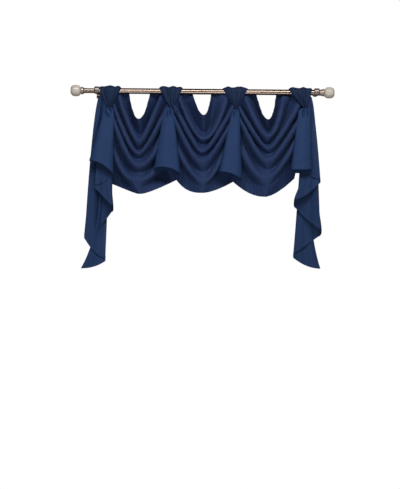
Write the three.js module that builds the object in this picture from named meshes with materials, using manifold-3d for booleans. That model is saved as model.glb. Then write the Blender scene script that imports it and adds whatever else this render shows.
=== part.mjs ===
// Swag curtain on its telescoping rod: three pleated swags, four tabs with horns and two cascade tails.
// Millimetres, +X to the right, +Y towards the wall, +Z up. The origin lies on the wall plane, midway
// between the two brackets, at the height of the rod's axis.

import * as THREE from 'three';
import { mergeVertices } from 'three/addons/utils/BufferGeometryUtils.js';
import Module from 'manifold-3d';

const wasm = await Module();
wasm.setup();

// ---- driving dimensions ----

const gap = 0.3;          // between pieces that touch
const clothThickness = 1.2;

const rod = {
  y: -85,                 // the axis, in front of the wall
  outerRadius: 11.1,
  innerRadius: 9.5,
  wall: 0.9,
  outerFrom: -416,
  outerTo: 440,
  innerFrom: -474,
  innerTo: -280,
};

const bracket = {
  x: 429,
  width: 20,
  ringRadius: 14.5,
  ringRise: 2.5,          // the ring's centre above the rod's axis
  armRadius: 6,
  armRise: 6,             // the arm's and the plate's centre above the rod's axis
  plateRadius: 13,
  plateThickness: 5,
};

const screw = { x: -425, stemRadius: 2, stemLength: 3, headRadius: 5, headLength: 15, neckRadius: 3 };
const finial = { collarLength: 16, ballLength: 41, ballRadius: 22, neckRadius: 15 };

// Each tab goes from its neck up over the rod and ends behind it. Widths are at the rod and at the neck.
const tabs = [
  { neckX: -374, neckZ: -66, leftX: -414, rightX: -342, neckWidth: 20, pleats: 2.0, phase: 0.3 },
  { neckX: -139, neckZ: -62, leftX: -181, rightX: -97, neckWidth: 18, pleats: 2.5, phase: 1.9 },
  { neckX: 112, neckZ: -64, leftX: 69, rightX: 159, neckWidth: 18, pleats: 2.5, phase: 0.8 },
  { neckX: 382, neckZ: -60, leftX: 324, rightX: 411, neckWidth: 20, pleats: 2.5, phase: 2.6 },
];

const tabShape = {
  radius: 16,             // of the cloth's middle where it passes over the rod
  gather: 4,              // height of the gathers there
  neckGather: 0.6,        // and at the neck
  neckY: -104,            // the neck, in front of the swags' ends
  tuck: 12,               // how far the tab's end runs down inside the horn
  tuckWidth: 0.6,         // the end's width, as a share of the neck's
};

// Each horn is a half cone, open behind. top and hem are its left and right edges; hemZ is the hem's
// height at its left edge, middle and right edge.
const horns = [
  { topZ: -72, top: [-397, -360], hem: [-453, -367], hemZ: [-274, -288, -322], depth: 30 },
  { topZ: -68, top: [-165, -131], hem: [-195, -104], hemZ: [-302, -299, -321], depth: 32 },
  { topZ: -70, top: [97, 126], hem: [58, 137], hemZ: [-313, -319, -342], depth: 30 },
  { topZ: -66, top: [357, 402], hem: [323, 408], hemZ: [-303, -303, -302], depth: 30 },
];

const hornShape = { topY: -106.4, hemY: -120, topDepth: 5, sweep: 100 };

// Where a swag's fold lines end at a neck: how far the end lies from the neck and from the wall.
const swagEnds = [
  { z: 0, away: 16, y: -69 },
  { z: -30, away: 12, y: -69 },
  { z: -66, away: 5, y: -86 },
  { z: -140, away: 5, y: -96 },
  { z: -360, away: 5, y: -100 },
];

// Rows of numbers under named columns.
const named = (columns, row) => Object.fromEntries(columns.map((name, i) => [name, row[i]]));
const table = (columns, rows) => rows.map((row) => named(columns, row));

// One row for each line along a swag's folds, from the top edge to the hem. left and right are the heights
// of its ends, bottomX and bottomZ its lowest point and y that point's place in front of the wall. The
// round columns say how round the line is on either side (1 is a V, 2 a parabola), reach bends it back to
// level before it meets the tab, and lift moves its ends to the front (ridges) or back (valleys).
const lineColumns = [
  'fold', 'left', 'bottomX', 'bottomZ', 'right', 'y', 'roundLeft', 'roundRight', 'reach', 'lift',
];

const swags = [
  {
    name: 'swag_left', necks: [0, 1], hemX: [-362, -124],
    lines: table(lineColumns, [
      ['top edge', -1, -257, -110, -1, -84, 3.35, 3.35, 0.36, 0],
      ['panel', -6, -259, -146, -8, -104, 2.2, 2.2, 0.6, 0],
      ['ridge 1', -16, -262, -182, -20, -122, 1.6, 1.6, 3, 3],
      ['valley 1', -32, -256, -202, -36, -102, 1.7, 1.7, 3, -3],
      ['ridge 2', -48, -260, -239, -50, -125, 1.7, 1.7, 3, 3],
      ['valley 2', -60, -256, -260, -60, -106, 1.8, 1.8, 3, -3],
      ['ridge 3', -72, -254, -290, -72, -127, 1.9, 1.8, 3, 3],
      ['valley 3', -130, -254, -312, -120, -110, 2.2, 2.2, 3, -3],
      ['ridge 4', -210, -254, -340, -200, -126, 2.8, 2.4, 3, 3],
      ['hem', -350, -254, -398, -341, -117, 1.35, 1.3, 3, 0],
    ]),
  },
  {
    name: 'swag_middle', necks: [1, 2], hemX: [-112, 104],
    lines: table(lineColumns, [
      ['top edge', -1, -12, -94, -1, -84, 2.5, 2.5, 0.35, 0],
      ['panel', -8, -10, -136, -6, -104, 2.1, 2.1, 0.6, 0],
      ['ridge 1', -20, -9, -178, -16, -122, 1.5, 1.6, 3, 3],
      ['valley 1', -38, -10, -198, -32, -103, 1.5, 1.7, 3, -3],
      ['ridge 2', -50, -13, -228, -48, -124, 1.6, 1.7, 3, 3],
      ['valley 2', -60, -13, -246, -60, -108, 1.6, 1.7, 3, -3],
      ['ridge 3', -72, -9, -266, -72, -126, 1.9, 1.8, 3, 3],
      ['valley 3', -120, -12, -290, -130, -110, 2.4, 2.2, 3, -3],
      ['ridge 4', -200, -14, -320, -210, -126, 2.6, 2.6, 3, 3],
      ['hem', -346, -12, -391, -338, -117, 3.4, 1.5, 3, 0],
    ]),
  },
  {
    name: 'swag_right', necks: [2, 3], hemX: [112, 348],
    lines: table(lineColumns, [
      ['top edge', -1, 236, -107, -1, -84, 3.4, 3.4, 0.31, 0],
      ['panel', -6, 240, -136, -8, -104, 2.2, 2.2, 0.6, 0],
      ['ridge 1', -16, 243, -162, -20, -122, 1.6, 1.6, 3, 3],
      ['valley 1', -32, 243, -181, -36, -102, 1.7, 1.7, 3, -3],
      ['ridge 2', -48, 240, -206, -48, -124, 1.7, 1.7, 3, 3],
      ['valley 2', -60, 239, -226, -60, -107, 1.8, 1.8, 3, -3],
      ['ridge 3', -72, 237, -258, -72, -127, 1.9, 1.9, 3, 3],
      ['valley 3', -130, 236, -289, -120, -110, 2.3, 2.3, 3, -3],
      ['ridge 4', -210, 231, -322, -190, -126, 2.6, 2.6, 3, 3],
      ['hem', -338, 228, -403, -316, -117, 2.0, 1.7, 3, 0],
    ]),
  },
];

// One row for each upright fold or edge of a tail, from the short front layer to the long back one: its x
// at the top and at the hem, the hem's height there, and how late the fold swings to its place at the hem.
const tails = [
  {
    name: 'tail_left',
    folds: [
      { fold: 'inner edge', topX: -377, hemX: -379, hemZ: -345, swing: 1 },
      { fold: 'outer 1', topX: -404, hemX: -433, hemZ: -374, swing: 0.8 },
      { fold: 'inner 1', topX: -376, hemX: -366, hemZ: -447, swing: 6 },
      { fold: 'outer 2', topX: -414, hemX: -471, hemZ: -569, swing: 0.65 },
      { fold: 'inner 2', topX: -380, hemX: -394, hemZ: -656, swing: 1 },
      { fold: 'outer edge', topX: -411, hemX: -480, hemZ: -688, swing: 5 },
    ],
  },
  {
    name: 'tail_right',
    folds: [
      { fold: 'inner edge', topX: 388, hemX: 386, hemZ: -320, swing: 1 },
      { fold: 'outer 1', topX: 409, hemX: 442, hemZ: -345, swing: 0.5 },
      { fold: 'inner 1', topX: 388, hemX: 345, hemZ: -434, swing: 1.6 },
      { fold: 'outer 2', topX: 408, hemX: 448, hemZ: -540, swing: 0.35 },
      { fold: 'inner 2', topX: 386, hemX: 344, hemZ: -634, swing: 1.3 },
      { fold: 'outer edge', topX: 408, hemX: 442, hemZ: -681, swing: 3.5 },
    ],
  },
];

const tailShape = { topZ: -11.8, topY: -93, hemY: -108, topPitch: 4.2, hemPitch: 9 };

// ---- finishes ----

const navyCloth = new THREE.MeshStandardMaterial({ color: 0x2b3d66, roughness: 0.85, metalness: 0 });
const warmNickel = new THREE.MeshStandardMaterial({ color: 0xb39d8d, roughness: 0.3, metalness: 1 });
const darkNickel = new THREE.MeshStandardMaterial({ color: 0x6e655e, roughness: 0.35, metalness: 1 });
const smokyGlass = new THREE.MeshStandardMaterial({ color: 0xc9c0a6, roughness: 0.15, metalness: 0 });

// ---- helpers ----

const part = new THREE.Group();

function add(name, geometry, material) {
  const mesh = new THREE.Mesh(geometry, material.clone());
  mesh.name = name;
  part.add(mesh);
  return mesh;
}

const mix = THREE.MathUtils.lerp;

// The value of a named column at a height, from a table whose rows go down from the highest z.
function atHeight(rows, column, z) {
  const below = rows.findIndex((row) => row.z < z);
  if (below === 0) return rows[0][column];
  if (below < 0) return rows[rows.length - 1][column];
  const [a, b] = [rows[below - 1], rows[below]];
  return mix(a[column], b[column], (a.z - z) / (a.z - b.z));
}

// A closed sheet: rows of points, thickened to both sides along the surface's normals.
function sheet(rows, thickness) {
  const down = rows.length;
  const across = rows[0].length;
  const clampDown = (r) => Math.min(Math.max(r, 0), down - 1);
  const clampAcross = (c) => Math.min(Math.max(c, 0), across - 1);
  const sides = [[], []];
  for (let r = 0; r < down; r++) {
    for (let c = 0; c < across; c++) {
      const along = rows[r][clampAcross(c + 1)].clone().sub(rows[r][clampAcross(c - 1)]);
      const drop = rows[clampDown(r + 1)][c].clone().sub(rows[clampDown(r - 1)][c]);
      const normal = drop.cross(along).normalize().multiplyScalar(thickness / 2);
      sides[0].push(rows[r][c].clone().sub(normal));
      sides[1].push(rows[r][c].clone().add(normal));
    }
  }
  const points = [...sides[0], ...sides[1]];
  const far = down * across;
  const index = [];
  const quad = (a, b, c, d) => index.push(a, b, c, a, c, d);
  for (let r = 0; r < down - 1; r++) {
    for (let c = 0; c < across - 1; c++) {
      const a = r * across + c;
      quad(a, a + 1, a + across + 1, a + across);
      quad(far + a, far + a + across, far + a + across + 1, far + a + 1);
    }
  }
  for (let c = 0; c < across - 1; c++) {
    const last = (down - 1) * across + c;
    quad(far + c, far + c + 1, c + 1, c);
    quad(last, last + 1, far + last + 1, far + last);
  }
  for (let r = 0; r < down - 1; r++) {
    const left = r * across;
    const right = left + across - 1;
    quad(left, left + across, far + left + across, far + left);
    quad(far + right, far + right + across, right + across, right);
  }
  const geometry = new THREE.BufferGeometry();
  const numbers = points.flatMap((point) => point.toArray());
  geometry.setAttribute('position', new THREE.Float32BufferAttribute(numbers, 3));
  geometry.setIndex(index);
  return geometry;
}

// A turned shape around the rod's direction: profile points are [distance along +X, radius].
function turned(profile, segments, x, z) {
  const points = profile.map(([along, radius]) => new THREE.Vector2(radius, along));
  const geometry = new THREE.LatheGeometry(points, segments);
  geometry.rotateZ(-Math.PI / 2);
  geometry.translate(x, rod.y, z);
  return geometry;
}

function bare(geometry) {
  const copy = geometry.clone();
  copy.deleteAttribute('normal');
  copy.deleteAttribute('uv');
  return mergeVertices(copy, 1e-4);
}

function solid(geometry) {
  const merged = bare(geometry);
  const vertProperties = new Float32Array(merged.attributes.position.array);
  const triVerts = new Uint32Array(merged.index.array);
  return new wasm.Manifold(new wasm.Mesh({ numProp: 3, vertProperties, triVerts }));
}

function fromSolid(manifold) {
  const mesh = manifold.getMesh();
  const geometry = new THREE.BufferGeometry();
  geometry.setAttribute('position', new THREE.BufferAttribute(new Float32Array(mesh.vertProperties), 3));
  geometry.setIndex(new THREE.BufferAttribute(new Uint32Array(mesh.triVerts), 1));
  return geometry;
}

// ---- rod, finials and brackets ----

function tube(from, to, radius) {
  const bore = radius - rod.wall;
  return turned([[from, bore], [from, radius], [to, radius], [to, bore], [from, bore]], 32, 0, 0);
}

function makeRod() {
  add('rod_outer', bare(tube(rod.outerFrom, rod.outerTo, rod.outerRadius)), warmNickel);
  add('rod_inner', bare(tube(rod.innerFrom, rod.innerTo, rod.innerRadius)), warmNickel);
}

// The collar is a cup that plugs into the tube and takes the ball; side is -1 on the left, 1 on the right.
function makeFinial(label, side, tubeEnd, tubeRadius) {
  const plug = tubeRadius - rod.wall - gap;
  const length = finial.collarLength;
  const start = tubeEnd * side + gap;
  const collar = [
    [-14, 0], [-14, plug], [0, plug], [0, tubeRadius + 1], [3, tubeRadius + 1.5],
    [length * 0.6, finial.neckRadius - 1], [length, finial.neckRadius], [length, 0],
  ];
  const ball = [[length + gap, 0], [length + gap, finial.neckRadius - 1]];
  const arcSteps = 8;
  for (let i = 1; i < arcSteps; i++) {
    const turn = (Math.PI * i) / arcSteps;
    const squareness = 0.62;
    const half = Math.sign(Math.cos(turn)) * Math.abs(Math.cos(turn)) ** squareness / 2;
    const along = finial.ballLength * (0.5 - half);
    ball.push([length + gap + along, finial.ballRadius * Math.sin(turn) ** squareness]);
  }
  ball.push([length + gap + finial.ballLength, 0]);
  const place = (profile) => {
    const mirrored = profile.map(([along, radius]) => [side * (start + along), radius]);
    return side < 0 ? mirrored.reverse() : mirrored;
  };
  add(`finial_collar_${label}`, bare(turned(place(collar), 28, 0, 0)), warmNickel);
  add(`finial_ball_${label}`, bare(turned(place(ball), 20, 0, 0)), smokyGlass);
}

// A ring round the tube, with an arm back to the wall plate.
function makeBracket(label, x, tubeRadius) {
  const half = bracket.width / 2;
  const outer = bracket.ringRadius;
  const edge = 3;
  const disc = turned([
    [-half, 0], [-half, outer - edge], [edge - half, outer],
    [half - edge, outer], [half, outer - edge], [half, 0],
  ], 32, x, bracket.ringRise);
  const bore = tubeRadius + gap;
  const boreCutter = turned([[-half - 1, 0], [-half - 1, bore], [half + 1, bore], [half + 1, 0]], 32, x, 0);
  const armStart = rod.y;
  const armEnd = -bracket.plateThickness - gap;
  const arm = new THREE.CylinderGeometry(bracket.armRadius, bracket.armRadius, armEnd - armStart, 20);
  arm.translate(x, (armStart + armEnd) / 2, bracket.armRise);
  const bossLength = 6;
  const boss = new THREE.CylinderGeometry(bracket.armRadius + 3, bracket.armRadius + 1, bossLength, 20);
  boss.translate(x, armEnd - bossLength / 2, bracket.armRise);
  const body = solid(disc).add(solid(arm)).subtract(solid(boreCutter)).add(solid(boss));
  add(`bracket_${label}`, fromSolid(body), darkNickel);

  const { plateRadius, plateThickness } = bracket;
  const plate = new THREE.CylinderGeometry(plateRadius, plateRadius - 1.5, plateThickness, 32);
  plate.translate(x, -plateThickness / 2, bracket.armRise);
  add(`bracket_plate_${label}`, bare(plate), darkNickel);
}

function makeClampScrew(label, x) {
  const { stemRadius, stemLength, headRadius, headLength, neckRadius } = screw;
  const end = stemLength + headLength;
  const profile = [
    [0, 0], [0, stemRadius], [stemLength, stemRadius], [stemLength, neckRadius], [stemLength + 3, headRadius],
    [end - 3, headRadius], [end, neckRadius], [end, 0],
  ];
  const points = profile.map(([along, radius]) => new THREE.Vector2(radius, along));
  const geometry = new THREE.LatheGeometry(points, 16);
  geometry.rotateX(-Math.PI / 2);
  geometry.translate(x, rod.y, bracket.ringRise - bracket.ringRadius - gap);
  add(`bracket_screw_${label}`, bare(geometry), warmNickel);
}

// ---- cloth ----

function makeTab(tab, number) {
  const horn = horns[number - 1];
  const hornX = (horn.top[0] + horn.top[1]) / 2;
  const { radius, gather, neckGather, neckY, tuck, tuckWidth } = tabShape;
  const columns = 11;
  const hornFront = hornShape.topY - hornShape.topDepth;
  const tuckY = hornFront + clothThickness + gap;
  const path = [{ y: tuckY, z: tab.neckZ - tuck, ny: -1, nz: 0, open: 0, endX: hornX, narrowing: tuckWidth }];
  const frontSteps = 4;
  for (let i = 0; i < frontSteps; i++) {
    const t = i / frontSteps;
    path.push({ y: mix(neckY, rod.y - radius, t), z: mix(tab.neckZ, 0, t), ny: -1, nz: 0, open: t });
  }
  const arcSteps = 6;
  for (let i = 0; i <= arcSteps; i++) {
    const turn = (Math.PI * i) / arcSteps;
    const [ny, nz] = [-Math.cos(turn), Math.sin(turn)];
    path.push({ y: rod.y + radius * ny, z: radius * nz, ny, nz, open: 1 });
  }
  const rows = path.map(({ y, z, ny, nz, open, endX = tab.neckX, narrowing = 1 }) => {
    const row = [];
    for (let c = 0; c < columns; c++) {
      const s = c / (columns - 1);
      const wide = mix(tab.leftX, tab.rightX, s);
      const narrow = endX + (s - 0.5) * tab.neckWidth * narrowing;
      const x = mix(narrow, wide, open);
      const wave = mix(neckGather, gather, open) * Math.sin(2 * Math.PI * tab.pleats * s + tab.phase);
      row.push(new THREE.Vector3(x, y + ny * wave, z + nz * wave));
    }
    return row;
  });
  add(`tab_${number}`, sheet(rows, clothThickness), navyCloth);
}

function makeHorn(horn, number) {
  const columns = 10;
  const rowCount = 7;
  const { topY, hemY, topDepth, sweep } = hornShape;
  const rows = [];
  for (let r = 0; r < rowCount; r++) {
    const v = r / (rowCount - 1);
    const left = mix(horn.top[0], horn.hem[0], v);
    const right = mix(horn.top[1], horn.hem[1], v);
    const depth = mix(topDepth, horn.depth, v);
    const backY = mix(topY, hemY, v);
    const row = [];
    for (let c = 0; c < columns; c++) {
      const side = mix(-1, 1, c / (columns - 1));
      const angle = THREE.MathUtils.degToRad(sweep * side);
      const x = (left + right) / 2 + ((right - left) / 2) * Math.sin(angle);
      const [zLeft, zMiddle, zRight] = horn.hemZ;
      const hemZ = side < 0 ? mix(zMiddle, zLeft, -side) : mix(zMiddle, zRight, side);
      row.push(new THREE.Vector3(x, backY - depth * Math.cos(angle), mix(horn.topZ, hemZ, v)));
    }
    rows.push(row);
  }
  add(`horn_${number}`, sheet(rows, clothThickness), navyCloth);
}

// How far up a fold line has climbed, from 0 at its lowest point to 1 at its end.
function climb(share, round, reach) {
  const rise = (distance) => 1 - Math.exp(-((distance / reach) ** round));
  return rise(share) / rise(1);
}

// How far forward cloth that comes down behind the rod may hang at a height.
function behindRod(z) {
  const clear = rod.outerRadius + 3.5;
  return Math.abs(z) < clear ? rod.y + Math.sqrt(clear ** 2 - z ** 2) : -Infinity;
}

function foldLine(swag, line, side, share) {
  const end = side < 0 ? 0 : 1;
  const z = side < 0 ? line.left : line.right;
  const neck = tabs[swag.necks[end]];
  const hang = THREE.MathUtils.clamp((z - neck.neckZ) / (-345 - neck.neckZ), 0, 1);
  const endX = mix(neck.neckX - side * atHeight(swagEnds, 'away', z), swag.hemX[end], hang);
  const endY = atHeight(swagEnds, 'y', z) - line.lift;
  const round = side < 0 ? line.roundLeft : line.roundRight;
  const x = mix(line.bottomX, endX, share);
  const y = mix(line.y, endY, share ** 1.15);
  const height = mix(line.bottomZ, z, climb(share, round, line.reach));
  return new THREE.Vector3(x, Math.max(y, behindRod(height)), height);
}

function makeSwag(swag) {
  const halfColumns = 9;
  const lines = swag.lines.map((line) => {
    const points = [];
    for (let c = -halfColumns; c <= halfColumns; c++) {
      const share = Math.sin((Math.PI / 2) * Math.abs(c / halfColumns));
      points.push(foldLine(swag, line, Math.sign(c) || 1, share));
    }
    return points;
  });
  const rows = [];
  for (let i = 0; i < lines.length; i++) {
    rows.push(lines[i]);
    if (i === lines.length - 1) break;
    const before = lines[Math.max(i - 1, 0)];
    const after = lines[Math.min(i + 2, lines.length - 1)];
    rows.push(lines[i].map((p, c) => {
      const near = p.clone().add(lines[i + 1][c]).multiplyScalar(9 / 16);
      const far = before[c].clone().add(after[c]).multiplyScalar(1 / 16);
      return near.sub(far);
    }));
  }
  add(swag.name, sheet(rows, clothThickness), navyCloth);
}

// A tail in plan is a back-and-forth line: level layers joined by half-circle folds.
function makeTail(tail) {
  const rowCount = 8;
  const arcSteps = 4;
  const { topZ, topY, hemY, topPitch, hemPitch } = tailShape;
  const outward = Math.sign(tail.folds[0].hemX);
  const rows = [];
  for (let r = 0; r < rowCount; r++) {
    const t = r / (rowCount - 1);
    const pitch = mix(topPitch, hemPitch, t);
    const frontY = mix(topY, hemY, t);
    const foldX = tail.folds.map((fold) => mix(fold.topX, fold.hemX, t ** fold.swing));
    const point = (x, y, hemZ) => new THREE.Vector3(x, y, mix(topZ, hemZ, t));
    const row = [];
    for (let layer = 0; layer < tail.folds.length - 1; layer++) {
      const [a, b] = [tail.folds[layer], tail.folds[layer + 1]];
      const travel = layer % 2 === 0 ? outward : -outward;
      const startX = foldX[layer] + (layer > 0 ? (travel * pitch) / 2 : 0);
      const last = layer === tail.folds.length - 2;
      const endX = foldX[layer + 1] - (last ? 0 : (travel * pitch) / 2);
      const y = frontY + layer * pitch;
      for (const s of [0, 0.5, 1]) row.push(point(mix(startX, endX, s), y, mix(a.hemZ, b.hemZ, s)));
      if (last) break;
      for (let i = 1; i < arcSteps; i++) {
        const turn = (Math.PI * i) / arcSteps;
        const x = endX + (travel * pitch * Math.sin(turn)) / 2;
        row.push(point(x, y + (pitch / 2) * (1 - Math.cos(turn)), b.hemZ));
      }
    }
    rows.push(outward < 0 ? row.reverse() : row);
  }
  add(tail.name, sheet(rows, clothThickness), navyCloth);
}

makeRod();
makeFinial('left', -1, rod.innerFrom, rod.innerRadius);
makeFinial('right', 1, rod.outerTo, rod.outerRadius);
makeBracket('left', -bracket.x, rod.innerRadius);
makeBracket('right', bracket.x, rod.outerRadius);
makeClampScrew('left', screw.x);
tabs.forEach((tab, i) => makeTab(tab, i + 1));
horns.forEach((horn, i) => makeHorn(horn, i + 1));
swags.forEach(makeSwag);
tails.forEach(makeTail);

export default part;
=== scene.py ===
# %% [markdown]
# # A swag curtain on its rod
# This curtain is a set of separate cloths that share one rod. Three swags hang in curved folds, four
# gathered tabs loop over the rod and end in a narrow neck, a cone-shaped horn flares out below each neck,
# and a pleated tail falls at either end. The CAD frame already holds every piece at its real size. This
# script gives each cloth its fine folds, hems, stitches and weave, and finishes the metal and the glass.

# %% Tools and the frame
import math

import bpy
import numpy as np
from mathutils import Matrix, Vector


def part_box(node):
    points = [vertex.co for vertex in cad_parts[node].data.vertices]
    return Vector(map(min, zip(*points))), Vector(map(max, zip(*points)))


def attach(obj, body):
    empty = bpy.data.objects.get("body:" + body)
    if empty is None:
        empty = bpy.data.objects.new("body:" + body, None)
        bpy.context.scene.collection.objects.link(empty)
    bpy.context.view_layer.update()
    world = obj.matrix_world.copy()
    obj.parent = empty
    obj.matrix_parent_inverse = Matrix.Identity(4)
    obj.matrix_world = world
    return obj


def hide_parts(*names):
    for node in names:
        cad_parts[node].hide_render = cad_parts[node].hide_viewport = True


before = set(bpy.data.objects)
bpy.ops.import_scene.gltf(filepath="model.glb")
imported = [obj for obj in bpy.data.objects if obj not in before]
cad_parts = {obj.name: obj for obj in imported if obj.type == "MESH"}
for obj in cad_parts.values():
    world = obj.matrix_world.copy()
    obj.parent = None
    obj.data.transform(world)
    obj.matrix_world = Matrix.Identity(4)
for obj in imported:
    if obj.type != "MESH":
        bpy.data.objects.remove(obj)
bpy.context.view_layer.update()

mm = 0.001
scene = bpy.context.scene

# %% [markdown]
# ## Camera, floor and light
# Something this wide and shallow is best shown from straight ahead and from far away, so that the swags
# keep their proportions. The camera stands 5 m off and looks level, a little above the lowest hems, so the
# curtain hangs in the upper part of the view. It is turned by half a degree, because a rod on two brackets
# is rarely dead level. Folds need a light with a direction, so one wide soft box stands high in front and
# shades every fold from above, and a small weak one low in front opens the undersides.

# %% Camera
rod_low, rod_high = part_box("rod_outer")
rod_y = (rod_low.y + rod_high.y) / 2
rod_radius = (rod_high.z - rod_low.z) / 2

eye_distance = 5.0
seen_height = 1.907  # how much of the rod's plane the view takes in from top to bottom
eye = Vector((-0.0216, rod_y - eye_distance, -0.596))
roll = math.radians(0.504)

camera_data = bpy.data.cameras.new("camera")
camera_data.sensor_width = 36
camera_data.lens = camera_data.sensor_width * eye_distance / seen_height
camera = bpy.data.objects.new("camera", camera_data)
camera.matrix_world = (
    Matrix.Translation(eye) @ Matrix.Rotation(math.radians(90), 4, "X") @ Matrix.Rotation(roll, 4, "Z")
)
scene.collection.objects.link(camera)
scene.camera = camera
print(f"camera at {eye_distance} m with a lens of {camera_data.lens:.1f} mm")

# %% Lamps
def soft_box(name, place, width, height, power):
    """A rectangular lamp that faces the middle of the curtain. Sizes are in metres and power in watts."""
    lamp = bpy.data.lights.new(name, "AREA")
    lamp.shape = "RECTANGLE"
    lamp.size, lamp.size_y, lamp.energy = width, height, power
    holder = bpy.data.objects.new(name, lamp)
    aim = Vector(curtain_middle) - Vector(place)
    holder.matrix_world = Matrix.Translation(place) @ aim.to_track_quat("-Z", "Y").to_matrix().to_4x4()
    scene.collection.objects.link(holder)
    print(f"{name}: {width} x {height} m, {power} W")


curtain_middle = (0, rod_y, -0.25)
soft_box("key light", (0.15, -2.6, 1.7), width=3.0, height=0.8, power=80)
soft_box("fill light", (0, -2.2, -1.6), width=1.2, height=0.5, power=14)

# %% Floor
floor_height = -2.2  # a rod over a window is a little over two metres up
floor_size = 1.6
floor_mesh = bpy.data.meshes.new("floor")
corners = [(x * floor_size, y * floor_size, floor_height) for x, y in ((-1, -1), (1, -1), (1, 1), (-1, 1))]
floor_mesh.from_pydata(corners, [], [(0, 1, 2, 3)])
floor = bpy.data.objects.new("floor", floor_mesh)
scene.collection.objects.link(floor)

# %% [markdown]
# ## A small language for node trees
# Node trees written socket by socket are long and hard to read. Here one class wraps a socket and turns
# Python's own operators into Math nodes, and another holds a tree and makes any node in one call. Both
# serve the world, the shaders and the Geometry Nodes alike.

# %% Sockets that do maths
class Wire:
    """A socket that can be added, multiplied and so on, with other sockets and with plain numbers."""

    def __init__(self, graph, socket):
        self.graph, self.socket = graph, socket

    def _with(self, operation, *others):
        return self.graph.node("ShaderNodeMath", dict(enumerate((self, *others))), operation=operation)

    def __add__(self, other):
        return self._with("ADD", other)

    def __rsub__(self, other):
        return self.graph.node("ShaderNodeMath", {0: other, 1: self}, operation="SUBTRACT")

    def __mul__(self, other):
        return self._with("MULTIPLY", other)

    def __truediv__(self, other):
        return self._with("DIVIDE", other)

    __radd__ = __add__

    def sin(self):
        return self._with("SINE")

    def size(self):
        return self._with("ABSOLUTE")

    def over(self, other):
        return self._with("GREATER_THAN", other)

    def held(self):
        """Never above 1."""
        return self._with("MINIMUM", 1.0)

    def beside(self, name):
        """Another output of the same node."""
        return Wire(self.graph, self.socket.node.outputs[name])


class Graph:
    """A node tree with one method that makes any node."""

    def __init__(self, tree):
        self.tree = tree

    def feed(self, node, sockets):
        """Gives a node's sockets their values: wires become links, and plain values constants."""
        for name, value in sockets.items():
            if isinstance(value, Wire):
                self.tree.links.new(value.socket, node.inputs[name])
            else:
                node.inputs[name].default_value = value

    def node(self, kind, sockets=None, output=0, **settings):
        """A new node with its settings and sockets, given as the wire of one of its outputs."""
        made = self.tree.nodes.new(kind)
        for name, value in settings.items():
            setattr(made, name, value)
        self.feed(made, sockets or {})
        return Wire(self, made.outputs[output]) if len(made.outputs) else made

    def mix(self, factor, first, second):
        """A mix of two colours, each a tuple or a wire."""
        sockets = {"Factor": factor, 6: first, 7: second}
        return self.node("ShaderNodeMix", sockets, output=2, data_type="RGBA")

    def scaled(self, vector, by):
        """A vector multiplied by three numbers."""
        return self.node("ShaderNodeVectorMath", {0: vector, 1: by}, operation="MULTIPLY")

    def noise(self, vector, scale, detail, roughness=0.5):
        sockets = {"Vector": vector, "Scale": scale, "Detail": detail, "Roughness": roughness}
        return self.node("ShaderNodeTexNoise", sockets)

    def bump(self, height, distance, strength, after=None):
        sockets = {"Height": height, "Distance": distance, "Strength": strength}
        if after is not None:
            sockets["Normal"] = after
        return self.node("ShaderNodeBump", sockets)


class Finish(Graph):
    """A material: its Principled shader takes plain values as constants and wires as links."""

    def __init__(self, name):
        self.material = bpy.data.materials.new(name)
        self.material.use_nodes = True
        super().__init__(self.material.node_tree)
        self.shader = self.tree.nodes["Principled BSDF"]

    def place(self):
        """The point on the object, in metres."""
        return self.node("ShaderNodeTexCoord", output=3)

    def flat(self):
        """The point on the flat cloth, in metres, from the piece's own UV map."""
        return self.node("ShaderNodeUVMap", uv_map="cloth")

    def shade(self, **values):
        self.feed(self.shader, {name.replace("_", " "): value for name, value in values.items()})
        return self.material


print("node helpers ready")

# %% [markdown]
# ## A white world
# The curtain is shown against plain white, but a world that shone as white would light it from all sides and
# flatten its folds. So the world is white only where it is seen directly. What it adds to the light is weak
# and a little warm, as from the walls of a room.

# %% World
white, room_light = (1, 1, 1, 1), (1.0, 0.64, 0.62, 1)
seen_white = 1.0  # how bright the world looks behind the curtain
ambient = 0.075  # how much it adds to the light
scene.view_settings.view_transform = "Standard"
scene.world = bpy.data.worlds.new("white")
scene.world.use_nodes = True
world = Graph(scene.world.node_tree)
seen = world.node("ShaderNodeLightPath", output="Is Camera Ray")
level = world.node("ShaderNodeMapRange", {"Value": seen, "To Min": ambient, "To Max": seen_white})
world.feed(world.tree.nodes["Background"], {"Color": world.mix(seen, room_light, white), "Strength": level})
print("the world lights at", ambient, "and is seen at", seen_white)

# %% [markdown]
# ## The navy cloth
# The cloth is a plain weave in dull navy polyester with a faint sheen. An image could give the weave, but
# a pattern worked out from the cloth's own flat coordinates stays sharp at any size and follows every fold.
# Warp and weft threads cross at 0.7 mm, each thread swells and thins a little along its length, and slow
# clouds of tone keep large areas from looking like plastic.

# %% Cloth finish
thread_pitch = 0.7 * mm
slubs_across, slubs_along = 1400, 30  # how many times a metre a thread's tone changes, across and along it
navy_deep = (0.0085, 0.0245, 0.0780, 1)
navy_light = (0.0178, 0.0510, 0.1480, 1)


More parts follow.
